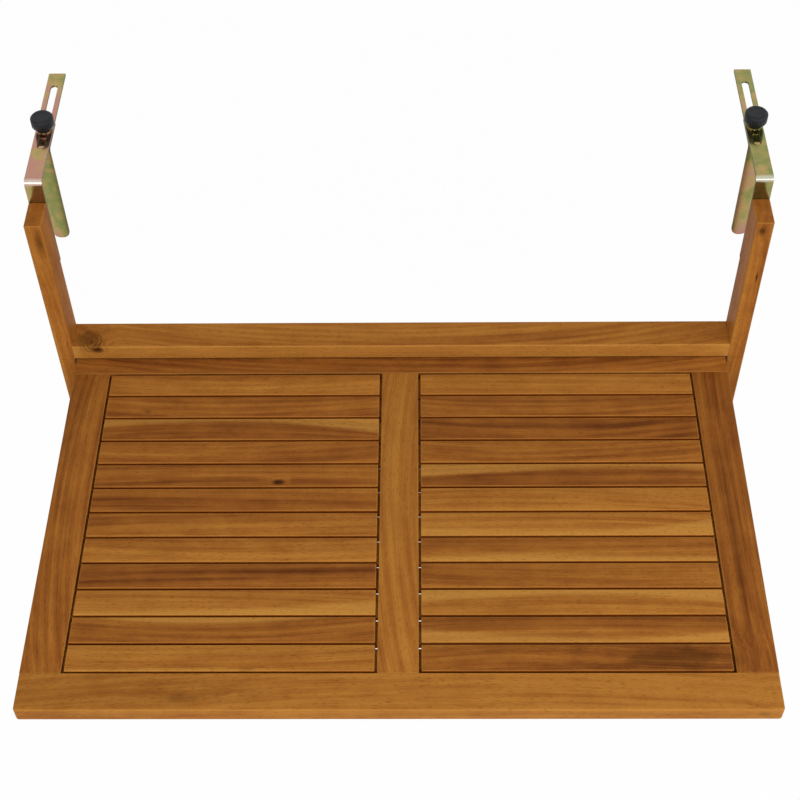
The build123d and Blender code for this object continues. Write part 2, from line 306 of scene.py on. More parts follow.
def new_material(name):
    """An empty material and the tree to fill."""
    material = bpy.data.materials.new(name)
    material.use_nodes = True
    material.node_tree.nodes.clear()
    return material, Tree(material.node_tree)


def surface(tree, **sockets):
    """End a material's tree in a principled shader."""
    inputs = {name.replace("_", " "): given for name, given in sockets.items()}
    shader = tree.node("ShaderNodeBsdfPrincipled", None, inputs)
    tree.node("ShaderNodeOutputMaterial", None, {"Surface": shader})


# Knots, stains, a broad darkening at the front rail's left end and a painted shadow of the back rail on
# the
# rear rail: the middle of each, its half sizes, how dark it is, from where on it fades, and how strong
# its rings are
marks_and_painted_shade = (
    ((-0.2785, -0.0318, -0.1765), (0.0080, 0.0080, 0.0060), 0.93, 0.20, 0.6),
    ((-0.2880, -0.0225, -0.1735), (0.0140, 0.0150, 0.0100), 0.56, 0.3, 0.0),
    ((-0.2840, -0.0265, -0.1735), (0.0110, 0.0120, 0.0080), 0.74, -1.5, 1.0),
    # A painted shadow that the back rail casts on the top's rear rail
    ((0.0000, -0.0245, -0.1902), (2.0000, 0.0120, 0.0012), 0.36, 0.35, 0.0),
    ((-0.1053, -0.1751, -0.1900), (0.0064, 0.0040, 0.0030), 0.93, 0.2, 0.3),
    ((-0.2270, -0.0957, -0.1900), (0.0040, 0.0028, 0.0028), 0.35, 0.5, 0.5),
    ((0.2220, -0.3510, -0.1900), (0.0560, 0.0135, 0.0100), 0.50, 0.35, 0.0),
    ((-0.1700, -0.3860, -0.1900), (0.0230, 0.0080, 0.0060), 0.44, 0.0, 0.0),
    ((-0.1190, -0.3605, -0.1905), (0.0100, 0.0035, 0.0030), 0.40, 0.0, 0.0),
    ((-0.2400, -0.3805, -0.1950), (0.1500, 0.0220, 0.0160), 0.14, 0.5, 0.0),
    ((0.2816, -0.2575, -0.1900), (0.0045, 0.1300, 0.0100), 0.38, 0.0, 0.0),
    ((0.2849, -0.3970, -0.1963), (0.0060, 0.0040, 0.0040), 0.30, 0.4, 0.6),
    ((-0.3065, -0.0320, -0.0400), (0.0050, 0.0040, 0.0230), 0.55, 0.0, 0.0),
    ((0.3078, -0.0320, -0.0302), (0.0042, 0.0040, 0.0060), 0.75, 0.2, 0.6),
    ((0.3120, -0.0320, -0.0866), (0.0013, 0.0030, 0.0080), 0.85, 0.2, 0.0),
)


# Layers of the grain: how fine each is along and across the board, its detail and its roughness
grain_layers = {
    "warp": (3.2, 26, 2, 0.5),
    "broad": (1.7, 66, 3, 0.5),
    "streaks": (3.6, 250, 3, 0.55),
    "fibres": (13, 1050, 2, 0.55),
    "mottle": (34, 55, 2, 0.6),
    "pores": (190, 2200, 1, 0.5),
}
# How much a layer lightens or darkens the wood
layer_weights = {"broad": 0.64, "streaks": 0.36, "fibres": 0.40, "mottle": 0.34}
# How far the grain may run aslant, and how far it may bend, over a board
most_slant, most_curve = 0.07, 1.1
# Radians in a metre between the rings of the boards, of their ends and of the knots
ring_density, end_ring_density, knot_ring_density = 760, 2600, 1500
# Where the tree's pith lies, seen from the middle of a board
pith_offset = (0, 0.019, 0.031)


def oiled_wood(settings):
    """Oiled acacia: streaks and pores along each board, tones that differ, sapwood and knots, with
    painted shade in the slat gaps and on the rear rail, and painted light on eased edges and the back
    rail's front.
    """
    material, tree = new_material("oiled_acacia")
    grain = tree.attribute("grain", "Vector")
    stored = ("board", "tone", "sap_side", "end_face", "eased", "flank", "pale_face")
    board, tone, sap_side, end_face, eased, flank, pale_face = map(tree.attribute, stored)
    place = tree.place()

    def drawn(factor):
        """A number about zero that differs from board to board."""
        return (board * factor).math("FRACT") - 0.5

    along, across, _ = tree.axes(grain)
    slant, curve = drawn(57.3) * most_slant, drawn(91.7) * most_curve
    drift = along * (slant + along * curve)

    ragged = tree.noise(place, scale=420, detail=2) - 0.5
    wobble = tree.noise(place, scale=75, detail=2) - 0.5
    dark_marks_and_shade, bend = None, None
    for centre, half, strength, core, swirled in marks_and_painted_shade:
        offset = tree.vector_math("DIVIDE", tree.vector_math("SUBTRACT", place, centre), half)
        gap = tree.length(offset)
        rough_gap = gap + ragged * 0.25 + wobble * 0.9
        eye = 1 - tree.step(rough_gap, core, 1.0)
        turns = (rough_gap * (max(half) * knot_ring_density)).math("SINE") * 0.5 + 0.5
        swirl = turns * (1 - tree.step(gap, 0.5, 1.5)) * swirled
        mask = eye.math("MAXIMUM", swirl) * strength
        push = (1 - tree.step(gap, 0.2, 2.6)) * (min(half) * strength)
        dark_marks_and_shade = mask if dark_marks_and_shade is None else dark_marks_and_shade.math("MAXIMUM", mask)
        bend = push if bend is None else bend + push

    shift = tree.node(
        "ShaderNodeCombineXYZ", None,
        {0: board * 31.7, 1: board * 17.3 + bend + drift, 2: board * 23.9 + bend},
    )
    spot = tree.vector_math("ADD", grain, shift)
    layers = {
        name: tree.stretched(spot, (along_scale, scale, scale), detail=detail, roughness=roughness)
        for name, (along_scale, scale, detail, roughness) in grain_layers.items()
    }
    warp, streaks, fibres = layers["warp"], layers["streaks"], layers["fibres"]
    pores = tree.step(layers["pores"], 0.57, 0.75)
    rings = ((across + bend + drift + warp * 0.022) * ring_density + board * 40).math("SINE")
    off_pith = tree.vector_math("MULTIPLY_ADD", grain, (0, 1, 1), pith_offset)
    end_rings = (tree.length(off_pith) * end_ring_density + warp * 9).math("SINE")

    level = 0.5 + rings * 0.050 + tone * settings.board_spread
    for name, weight in layer_weights.items():
        level = level + (layers[name] - 0.5) * weight
    heartwood = tree.ramp(
        level,
        (0.14, settings.dark),
        (0.35, settings.brown),
        (0.53, settings.amber),
        (0.78, settings.honey),
    )
    sap_edge = across * sap_side.math("SIGN") + (warp - 0.5) * 0.018 + drift * 1.6
    sap = tree.step(sap_edge, 0.005, 0.0105) * tree.step(sap_side.math("ABSOLUTE"), 0.66, 0.70)
    # Sapwood, and painted light on the back rail's front face
    sap_and_painted_light = sap.math("MAXIMUM", pale_face * 0.8) * (0.35 + streaks * 0.6)
    pale = tree.mix(sap_and_painted_light, heartwood, settings.sapwood)
    porous = tree.mix(pores * 0.6, pale, settings.dark)
    ended = tree.mix(end_face * (0.3 + end_rings * 0.22), porous, settings.brown)
    # Eased edges turn paler: partly sanded wood, partly a painted highlight where they catch the light
    sanded_and_highlit = tree.mix(eased * 0.30, ended, settings.sapwood)
    # Painted shade on the slats' sides in the gaps
    gap_shaded = tree.mix(flank * 0.85, sanded_and_highlit, settings.gap_shade)
    surface(
        tree,
        # Knots, stains and the painted shadow on the rear rail
        Base_Color=tree.mix(dark_marks_and_shade, gap_shaded, settings.knot_and_shade),
        Roughness=0.48 + (fibres - 0.5) * 0.22 + pores * 0.12,
        Specular_IOR_Level=settings.sheen,
        Normal=tree.bump(fibres * 0.6 + streaks * 0.4 - pores * 0.9, strength=0.35, depth=0.00025),
    )
    return material


# How fast a strap's tint changes with height at the left and at the right, and along the top of the left
# strap, and where on that top it stays as it is
left_lean, right_lean, left_reach, reach_middle = 12, 5, -5.8, 0.074
plating_metallic = 0.92


def passivated_zinc(settings):
    """Yellow passivated zinc with rainbow bands, as on bent steel strip."""
    material, tree = new_material("passivated_zinc")
    place = tree.place()
    side, depth, height = tree.axes(place)
    bands = tree.stretched(place, (30, 17, 17), detail=2, roughness=0.6)
    clouds = tree.noise(place, scale=95, detail=3, roughness=0.6)
    rolled = tree.stretched(place, (1900, 90, 90), detail=2)
    left, right = side.math("MINIMUM", 0), side.math("MAXIMUM", 0)
    leaning = left * left_lean - right * right_lean
    on_top = tree.step(height, -0.004, -0.001)
    reaching = left * left_reach * (depth - reach_middle) * on_top
    hue = bands * 0.75 + clouds * 0.34 + side * 0.35 + leaning * height + reaching - 0.075
    film = tree.ramp(
        hue,
        (0.30, settings.rose),
        (0.43, settings.gold),
        (0.56, settings.olive),
        (0.66, settings.gold),
        (0.76, settings.rose),
    )
    # Paler zinc round the bend: partly plating rubbed thin there, partly a painted highlight where the
    # bend catches the light
    from_bend = tree.length(tree.vector_math("MULTIPLY", place, (0, 1, 1)))
    rubbed_and_highlit = 1 - tree.step(from_bend + (clouds - 0.5) * 0.002, 0.0012, 0.0040)
    worn = tree.mix(rubbed_and_highlit * 0.6 + rolled * 0.06, film, settings.bare_and_highlight)
    cut_edge = tree.attribute("cut_edge")
    surface(
        tree,
        Base_Color=tree.mix(cut_edge * 0.85, worn, settings.shorn),
        Metallic=plating_metallic - cut_edge * plating_metallic,
        Roughness=0.10 + clouds * 0.10 + rolled * 0.05 + cut_edge * 0.4,
        Normal=tree.bump(rolled, strength=0.06, depth=0.00006),
    )
    return material


def bright_steel(settings):
    """Plated steel of the screws, bolts, washers and nuts."""
    material, tree = new_material("bright_steel")
    place = tree.place()
    clouds = tree.noise(place, scale=240, detail=3, roughness=0.6)
    grain = tree.noise(place, scale=2400, detail=2)
    surface(
        tree,
        Base_Color=tree.mix(clouds, settings.steel, settings.gold),
        Metallic=0.95,
        Roughness=0.24 + clouds * 0.2,
        Normal=tree.bump(grain, strength=0.1, depth=0.00008),
    )
    return material


def moulded_black(settings):
    """Black moulded plastic with a fine spark-eroded grain."""
    material, tree = new_material("moulded_black")
    place = tree.place()
    grain = tree.noise(place, scale=2600, detail=2)
    worn = tree.noise(place, scale=160, detail=3, roughness=0.6)
    paler = tuple(min(1, part * 1.9) for part in settings.black)
    surface(
        tree,
        Base_Color=tree.mix(tree.step(worn, 0.4, 0.75), settings.black, paler),
        Roughness=0.36 + worn * 0.14,
        Specular_IOR_Level=0.24,
        Normal=tree.bump(grain, strength=0.25, depth=0.00012),
    )
    return material


def bare_dowel(settings):
    """Unfinished pale wood of the dowels, fluted along their length."""
    material, tree = new_material("bare_dowel")
    fibres = tree.stretched(tree.place(), (1500, 40, 1500), detail=3)
    surface(
        tree,
        Base_Color=tree.mix(fibres, settings.honey, settings.sapwood),
        Roughness=0.7,
        Normal=tree.bump(fibres, strength=0.3, depth=0.0002),
    )
    return material


def material_named(name, make, settings):
    """The material of that name, made at its first use."""
    return bpy.data.materials.get(name) or make(settings)


def wood_of(table):
    """The oiled wood of the boards."""
    return material_named("oiled_acacia", oiled_wood, table.wood)


def zinc_of(table):
    """The plating of the straps."""
    return material_named("passivated_zinc", passivated_zinc, table.plate)


def steel_of(table):
    """The steel of the fasteners."""
    return material_named("bright_steel", bright_steel, table.plate)


def black_of(table):
    """The plastic of the knobs and washers."""
    return material_named("moulded_black", moulded_black, table.knobs)


def new_object(name, shape, *materials):
    """An object in the scene from a bmesh, at the origin."""
    mesh = bpy.data.meshes.new(name)
    shape.to_mesh(mesh)
    shape.free()
    for material in materials:
        mesh.materials.append(material)
    made = bpy.data.objects.new(name, mesh)
    bpy.context.scene.collection.objects.link(made)
    return made


def drop(made):
    """Remove a helper object and its mesh."""
    mesh = made.data
    bpy.data.objects.remove(made)
    bpy.data.meshes.remove(mesh)


def smooth(mesh, degrees=32):
    """Shade a mesh smooth, with its corners kept sharp."""
    mesh.polygons.foreach_set("use_smooth", [True] * len(mesh.polygons))
    mesh.set_sharp_from_angle(angle=math.radians(degrees))


def settle(made):
    """Replace an object's mesh by what its modifiers make of it."""
    made_now = made.evaluated_get(bpy.context.evaluated_depsgraph_get())
    mesh = bpy.data.meshes.new_from_object(made_now)
    before = made.data
    made.modifiers.clear()
    made.data = mesh
    bpy.data.meshes.remove(before)


def place_in_frame(made, slot, *nodes):
    """Hide a piece's solids and hang the piece on the empty of their body."""
    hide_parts(*nodes)
    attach(made, bodies_of_nodes[nodes[0]])


def solid_copy(*nodes):
    """A bmesh of solids with their corners merged and their flat faces whole."""
    shape = bmesh.new()
    for node in nodes:
        shape.from_mesh(frame["nodes"][node].data)
    bmesh.ops.remove_doubles(shape, verts=shape.verts, dist=same_point)
    bmesh.ops.dissolve_limit(
        shape, angle_limit=flat_angle, verts=shape.verts, edges=shape.edges, delimit=set()
    )
    return shape


def ease_edges(shape, radius, shortest):
    """Round the sharp edges of a shape that are longer than the shortest, and drop slivers."""
    edges = [
        edge for edge in shape.edges
        if edge.is_manifold and edge.calc_length() > shortest
        and edge.is_convex and edge.calc_face_angle() > sharp_angle
    ]
    bmesh.ops.bevel(
        shape, geom=edges, offset=radius, offset_type="OFFSET", segments=2, profile=0.5,
        affect="EDGES", clamp_overlap=False,
    )
    bmesh.ops.dissolve_degenerate(shape, dist=sliver_edge, edges=shape.edges)


def combine(blank, other, operation="DIFFERENCE"):
    """Take another shape out of a blank, or join it to the blank."""
    modifier = blank.modifiers.new("combine", "BOOLEAN")
    modifier.object = other
    modifier.operation = operation
    modifier.solver = "EXACT"
    settle(blank)
    drop(other)


def mark_faces(mesh, name, number_of):
    """Store a number on each face that follows from its normal."""
    entry = mesh.attributes.new(name, "FLOAT", "FACE")
    entry.data.foreach_set("value", [float(number_of(face.normal)) for face in mesh.polygons])


def mark_grain(mesh, along):
    """Store where each point lies in its board, x along the grain, and which faces are ends or eased."""
    along = Vector(along).normalized()
    upright = abs(along.z) > square
    second = Vector((1, 0, 0)) if upright else Vector((0, 0, 1)).cross(along).normalized()
    third = along.cross(second)
    corners = [v.co for v in mesh.vertices]
    middle = sum(corners, Vector()) / len(corners)
    grain = mesh.attributes.new("grain", "FLOAT_VECTOR", "POINT")
    for entry, corner in zip(grain.data, corners):
        offset = corner - middle
        entry.vector = (offset.dot(along), offset.dot(second), offset.dot(third))
    axes = (along, second, third)
    mark_faces(mesh, "end_face", lambda normal: abs(normal.dot(along)) ** 4)
    mark_faces(mesh, "eased", lambda normal: max(abs(normal.dot(axis)) for axis in axes) < square)


def mark_board(mesh, **numbers):
    """Store numbers that stay the same over one board."""
    for name, number in numbers.items():
        entry = mesh.attributes.new(name, "FLOAT", "POINT")
        entry.data.foreach_set("value", [number] * len(entry.data))


# How much lighter or darker each board of the frames is than the middle of the range
board_tones = {
    "front_rail": 0.56,
    # The rear rail is darker as painted shade, where the back rail shades it
    "rear_rail": -0.22,
    "left_stile": -0.10,
    "centre_stile": 0.40,
    "right_stile": -0.3,
    "stop_cleats": 0.0,
    "back_rail": 0.3,
    "left_arm": 0.2,
    "right_arm": 0.05,
    "left_strut": 0.1,
    "right_strut": -0.1,
    "prop_bar": 0.25,
}

# Boards whose front face is painted paler in the sapwood colour, as painted light on that face
painted_light_fronts = ("back_rail",)


def dress_board(table, node, along):
    """Give a board its sanded edges and its grain."""
    shape = solid_copy(node)
    ease_edges(shape, table.wood.ease, shortest=0.006)
    made = new_object(f"{node}_board", shape, wood_of(table))
    smooth(made.data)
    mark_grain(made.data, along)
    mark_board(made.data, board=random.Random(node).random(), tone=board_tones[node], sap_side=0.0)
    mark_faces(made.data, "pale_face", lambda normal: node in painted_light_fronts and normal.y < -mostly)
    place_in_frame(made, "frame_wood", node)


class BALCONY_OT_tabletop_frame(bpy.types.Operator):
    """Dress the rails, stiles and stop cleats of the top"""

    bl_idname = "balcony.tabletop_frame"
    bl_label = "Tabletop Frame"

    def execute(self, context):
        table = context.scene.balcony_table
        for node in ("front_rail", "rear_rail"):
            dress_board(table, node, (1, 0, 0))
        for node in ("left_stile", "centre_stile", "right_stile", "stop_cleats"):
            dress_board(table, node, (0, 1, 0))
        return {"FINISHED"}


class BALCONY_OT_hanging_frame(bpy.types.Operator):
    """Dress the two arms and the back rail"""

    bl_idname = "balcony.hanging_frame"
    bl_label = "Hanging Frame"

    def execute(self, context):
        table = context.scene.balcony_table
        dress_board(table, "back_rail", (1, 0, 0))
        for side in sides:
            dress_board(table, f"{side}_arm", (0, 0, 1))
        return {"FINISHED"}


class BALCONY_OT_folding_prop(bpy.types.Operator):
    """Dress the struts and the cross bar of the folding prop"""

    bl_idname = "balcony.folding_prop"
    bl_label = "Folding Prop"

    def execute(self, context):
        table = context.scene.balcony_table
        reach = size_of("left_strut")
        lean = (0, -reach.y, reach.z)
        for side in sides:
            dress_board(table, f"{side}_strut", lean)
        dress_board(table, "prop_bar", (1, 0, 0))
        return {"FINISHED"}


def group_tree(name, sockets):
    """A geometry node group with named inputs, its tree, its inputs' values and their identifiers."""
    group = bpy.data.node_groups.new(name, "GeometryNodeTree")
    group.interface.new_socket(name="Geometry", in_out="OUTPUT", socket_type="NodeSocketGeometry")
    group.interface.new_socket(name="Geometry", in_out="INPUT", socket_type="NodeSocketGeometry")
    identifiers = {}
    for label, kind in sockets.items():
        made = group.interface.new_socket(name=label, in_out="INPUT", socket_type=f"NodeSocket{kind}")
        identifiers[label] = made.identifier
    tree = Tree(group)
    source = tree.node("NodeGroupInput").socket.node
    values = {socket.name: Value(tree, socket) for socket in source.outputs if socket.name}
    return group, tree, values, identifiers


def run_group(made, group, identifiers, settings):
    """Run a node group on an object with the given inputs, and keep the plain result."""
    modifier = made.modifiers.new(group.name, "NODES")
    modifier.node_group = group
    for label, setting in settings.items():
        modifier[identifiers[label]] = setting
    settle(made)


def end_group(tree, instances, material):
    """End a node group in real geometry with its material."""
    real = tree.node("GeometryNodeRealizeInstances", None, {"Geometry": instances})
    finished = tree.node("GeometryNodeSetMaterial", None, {"Geometry": real, "Material": material})
    tree.node("NodeGroupOutput", None, {"Geometry": finished})


def slat_group():
    """Lays a slat in rows over both panels and gives each its own number."""
    group, tree, values, identifiers = group_tree(
        "rows_of_slats",
        {
            "Slat": "Object",
            "Slats per Panel": "Int",
            "Pitch": "Float",
            "First Row": "Float",
            "Panel Middle": "Float",
            "Height": "Float",
            "Seed": "Int",
            "Material": "Material",
        },
    )
    slat = tree.node("GeometryNodeObjectInfo", None, {"Object": values["Slat"]}, output="Geometry")
    pitch = tree.node("ShaderNodeCombineXYZ", None, {1: values["Pitch"]})
    rows = []
    for side in sides.values():
        start = tree.node(
            "ShaderNodeCombineXYZ", None,
            {0: values["Panel Middle"] * side, 1: values["First Row"], 2: values["Height"]},
        )
        rows.append(
            tree.node(
                "GeometryNodeMeshLine", None,
                {"Count": values["Slats per Panel"], "Start Location": start, "Offset": pitch},
            )
        )
    both = tree.node("GeometryNodeJoinGeometry", None, {0: rows[0]}).socket.node
    tree.tree.links.new(rows[1].socket, both.inputs[0])
    laid = tree.node(
        "GeometryNodeInstanceOnPoints", None, {"Points": Value(tree, both.outputs[0]), "Instance": slat}
    )
    ranges = {"board": (0, 1), "tone": (-0.5, 0.5), "sap_side": (-1, 1)}
    for draw, (name, (least, most)) in enumerate(ranges.items()):
        number = tree.node(
            "FunctionNodeRandomValue", {"data_type": "FLOAT"},
            {2: least, 3: most, "Seed": values["Seed"] + draw}, output=1,
        )
        laid = tree.node(
            "GeometryNodeStoreNamedAttribute", {"data_type": "FLOAT", "domain": "INSTANCE"},
            {"Geometry": laid, "Name": name, "Value": number},
        )
    end_group(tree, laid, values["Material"])
    return group, identifiers


def slat_blank(table):
    """One slat with its two tongues, its top face at zero height."""
    low, high = (Vector(corner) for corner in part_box(slat_nodes[0]))
    corners = [v.co for v in frame["nodes"][slat_nodes[0]].data.vertices]
    heights = [c.z for c in corners if c.x < low.x + same_point]
    shoulders = [c.x for c in corners if c.z > max(heights) + 10 * same_point]
    whole = high - low
    tongue_width = whole.y - 2 * table.slats.tongue_inset
    forms = (
        (max(shoulders) - min(shoulders), whole.y, -whole.z, 0.0, table.slats.ease),
        (whole.x, tongue_width, min(heights) - high.z, max(heights) - high.z, 0.0),
    )
    blocks = []
    for span, width, bottom, ceiling, ease in forms:
        shape = bmesh.new()
        cube = bmesh.ops.create_cube(shape, size=1)["verts"]
        bmesh.ops.scale(shape, vec=(span, width, ceiling - bottom), verts=cube)
        bmesh.ops.translate(shape, vec=(0, 0, (ceiling + bottom) / 2), verts=cube)
        if ease:
            bmesh.ops.bevel(
                shape, geom=shape.edges[:], offset=ease, segments=3, profile=0.5, affect="EDGES"
            )
        blocks.append(new_object("slat_blank", shape))
    blank, tongues = blocks
    combine(blank, tongues, "UNION")
    smooth(blank.data)
    mark_grain(blank.data, (1, 0, 0))
    mark_faces(blank.data, "flank", lambda normal: abs(normal.z) < hardly)
    return blank


class BALCONY_OT_slats(bpy.types.Operator):
    """Lay the slats of the two panels"""

    bl_idname = "balcony.slats"
    bl_label = "Slats"

    def execute(self, context):
        table = context.scene.balcony_table
        first, second = middle_of(slat_nodes[0]), middle_of(slat_nodes[1])
        blank = slat_blank(table)
        group, identifiers = slat_group()
        made = new_object("panel_slats", bmesh.new())
        run_group(
            made, group, identifiers,
            {
                "Slat": blank,
                "Slats per Panel": slats_per_panel,
                "Pitch": second.y - first.y,
                "First Row": first.y,
                "Panel Middle": abs(first.x),
                "Height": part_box(slat_nodes[0])[1][2],
                "Seed": table.slats.seed,
                "Material": wood_of(table),
            },
        )
        drop(blank)
        place_in_frame(made, "slat_wood", *slat_nodes)
        return {"FINISHED"}


class BALCONY_OT_straps(bpy.types.Operator):
    """Dress the slotted brackets and their hooks"""

    bl_idname = "balcony.straps"
    bl_label = "Straps"

    def execute(self, context):
        table = context.scene.balcony_table
        for side in sides:
            for kind in ("bracket", "hook"):
                node = f"{side}_{kind}"
                shape = solid_copy(node)
                ease_edges(shape, table.plate.burr, shortest=0.0015)
                made = new_object(f"{node}_strap", shape, zinc_of(table))
                smooth(made.data)
                mark_faces(made.data, "cut_edge", lambda normal: abs(normal.x) > hardly)
                place_in_frame(made, "plated_strap", node)
        return {"FINISHED"}


def round_at(number, radius, angle):
    """The radius of a ring that is a plain circle."""
    return radius


def turned(rings, segments, radius_at=round_at):
    """A closed turned shape from rings of (radius, height), whose radius may differ with the angle."""
    shape = bmesh.new()
    rows = []
    for number, (radius, height) in enumerate(rings):
        row = []
        for turn in range(segments):
            angle = full_turn * turn / segments
            reach = radius_at(number, radius, angle)
            row.append(shape.verts.new((reach * math.cos(angle), reach * math.sin(angle), height)))
        rows.append(row)
    for lower, upper in zip(rows, rows[1:]):
        for turn in range(segments):
            after = (turn + 1) % segments
            shape.faces.new((lower[turn], lower[after], upper[after], upper[turn]))
    shape.faces.new(reversed(rows[0]))
    shape.faces.new(rows[-1])
    return shape


def stand_at(made, node):
    """Shift a turned mesh to the foot of its solid."""
    middle, foot = middle_of(node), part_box(node)[0][2]
    made.data.transform(Matrix.Translation((middle.x, middle.y, foot)))


class BALCONY_OT_knobs(bpy.types.Operator):
    """Turn the fluted clamping knobs"""

    bl_idname = "balcony.knobs"
    bl_label = "Knobs"

    def execute(self, context):
        table = context.scene.balcony_table
        knobs = table.knobs
        rim = size_of("left_knob").x / 2
        tall = size_of("left_knob").z
        neck, shoulder, bevel = 0.6 * rim, 0.29 * tall, 0.14 * rim
        # From the neck's foot out to the rim, up its side and in to the dished top
        rings = (
            (neck * 0.94, 0.0),
            (neck, 0.0004),
            (neck, shoulder * 0.8),
            (neck + 0.0006, shoulder),
            (rim - 0.0010, shoulder + 0.0002),
            (rim - 0.0003, shoulder + 0.0006),
            (rim, shoulder + 0.0014),
            (rim, tall - bevel - 0.0004),
            (rim - 0.0003, tall - bevel),
            (rim - bevel + 0.0002, tall - 0.0003),
            (rim - bevel - 0.0004, tall - 0.00005),
            (rim - bevel - 0.0014, tall),
            (rim * 0.62, tall),
            (rim * 0.59, tall - 0.0003),
            (rim * 0.2, tall - 0.0004),
        )
        fluted_rings = range(4, 10)
        flute_sharpness, points_per_flute = 5, 8

        def radius_at(number, radius, angle):
            wave = max(0.0, math.cos(knobs.flutes * angle)) ** flute_sharpness
            return radius - (knobs.flute_depth * wave if number in fluted_rings else 0)

        for side in sides:
            node = f"{side}_knob"
            shape = turned(rings, knobs.flutes * points_per_flute, radius_at)
            made = new_object(f"{side}_knob_grip", shape, black_of(table))
            smooth(made.data, 40)
            stand_at(made, node)
            place_in_frame(made, "black_knob", node)
        return {"FINISHED"}


class BALCONY_OT_studs(bpy.types.Operator):
    """Cut the threads of the studs under the knobs"""

    bl_idname = "balcony.studs"
    bl_label = "Studs"

    def execute(self, context):
        table = context.scene.balcony_table
        pitch = table.knobs.pitch
        low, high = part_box("left_stud")
        radius, tall = size_of("left_stud").x / 2, high[2] - low[2]
        rows_per_turn, points_per_row, depth = 8, 28, 0.6 * pitch
        count = int(tall / pitch * rows_per_turn)
        rings = [(radius, tall * row / count) for row in range(count + 1)]

        def radius_at(number, reach, angle):
            turn = (rings[number][1] / pitch - angle / full_turn) % 1
            end_ease = depth if number in (0, count) else 0
            return reach - depth * (1 - abs(2 * turn - 1)) - end_ease

        for side in sides:
            node = f"{side}_stud"
            shape = turned(rings, points_per_row, radius_at)
            made = new_object(f"{side}_stud_thread", shape, steel_of(table))
            smooth(made.data, 60)
            stand_at(made, node)
            place_in_frame(made, "fastener_steel", node)
        return {"FINISHED"}


def solids_in(node):
    """The box of each separate solid in a node."""
    shape = solid_copy(node)
    left = set(shape.verts)
    found = []
    while left:
        reached, waiting = set(), [left.pop()]
        while waiting:
            vert = waiting.pop()
            reached.add(vert)
            for edge in vert.link_edges:
                other = edge.other_vert(vert)
                if other in left:
                    left.discard(other)
                    waiting.append(other)
        corners = [vert.co.copy() for vert in reached]
        low = Vector([min(c[axis] for c in corners) for axis in range(3)])
        high = Vector([max(c[axis] for c in corners) for axis in range(3)])
        found.append((low, high))
    shape.free()
    return found


def head_group():
    """Sets a fastener at each point, turned to the point's own direction."""
    group, tree, values, identifiers = group_tree(
        "set_fasteners", {"Fastener": "Object", "Seed": "Int", "Material": "Material"}
    )
    item = tree.node("GeometryNodeObjectInfo", None, {"Object": values["Fastener"]}, output="Geometry")
    out = tree.node(
        "GeometryNodeInputNamedAttribute", {"data_type": "FLOAT_VECTOR"}, {"Name": "out"}, output=0
    )
    facing = tree.node("FunctionNodeAlignRotationToVector", {"axis": "Z"}, {"Vector": out})
    turn = tree.node(
        "FunctionNodeRandomValue", {"data_type": "FLOAT"},
        {3: full_turn, "Seed": values["Seed"]}, output=1,
    )
    twist = tree.node("ShaderNodeCombineXYZ", None, {2: turn})
    turned_to = tree.node(
        "FunctionNodeRotateRotation", {"rotation_space": "LOCAL"}, {0: facing, 1: twist}
    )
    heads = tree.node(
        "GeometryNodeInstanceOnPoints", None,
        {"Points": values["Geometry"], "Instance": item, "Rotation": turned_to},
    )
    end_group(tree, heads, values["Material"])
    return group, identifiers


def screw_blank(head, shank, span):
    """A countersunk screw with a cross recess. Its head lies at zero height and points up."""
    rings = (
        (shank * 0.2, -span),
        (shank * 0.9, -span + 2 * shank),
        (shank, -(head - shank) - 0.0004),
        (head * 0.98, -0.0003),
        (head, -0.0002),
        (head * 0.985, 0.0),
        (head * 0.6, 0.00002),
    )
    blank = new_object("screw_blank", turned(rings, 36))
    bar_long, bar_wide, bar_deep, bar_taper = 1.15 * head, 0.24 * head, 0.8 * head, 0.55
    for long, wide in ((bar_long, bar_wide), (bar_wide, bar_long)):
        shape = bmesh.new()
        bar = bmesh.ops.create_cube(shape, size=1)["verts"]
        bmesh.ops.scale(shape, vec=(long, wide, bar_deep), verts=bar)
        for vert in bar:
            if vert.co.z < 0:
                vert.co.xy *= bar_taper
        combine(blank, new_object("recess_bar", shape))
    return blank


def bolt_blank(head, shank, span, head_height):
    """A bolt with a round head and a hexagon socket. Its head lies at zero height and points up."""
    rings = (
        (shank * 0.85, -span),
        (shank, -span + 0.15 * shank),
        (shank, -head_height),
        (head, -head_height),
        (head, -0.0005),
        (head - 0.0002, -0.00015),
        (head - 0.0005, 0.0),
    )
    blank = new_object("bolt_blank", turned(rings, 48))
    shape = bmesh.new()
    bmesh.ops.create_cone(
        shape, cap_ends=True, segments=6, radius1=0.44 * head, radius2=0.46 * head,
        depth=1.1 * head_height,
    )
    combine(blank, new_object("hexagon_socket", shape))
    return blank


# Which way the heads of each group of fasteners point: away from the middle, to the railing, or down
screw_groups = {
    "rail_screws": "aside",
    "bracket_screws": "back",
    "prop_screws": "aside",
    "cleat_screws": "down",
}
bolt_groups = {"pivot_bolts": "aside", "prop_bolts": "aside"}

# Where a fastener's head lies, the way it points, the head's radius and the length of the whole
Fastener = namedtuple("Fastener", "place out radius span")


def fasteners_in(node, facing):
    """The fasteners of a group, measured from its solids."""
    found = []
    for low, high in solids_in(node):
        middle, span = (low + high) / 2, high - low
        out = {
            "aside": Vector((math.copysign(1, middle.x), 0, 0)),
            "back": Vector((0, 1, 0)),
            "down": Vector((0, 0, -1)),
        }[facing]
        reach = abs(span.dot(out))
        across = max(abs(span[axis]) for axis in range(3) if abs(out[axis]) < hardly)
        found.append(Fastener(middle + out * reach / 2, out, across / 2, reach))
    return found


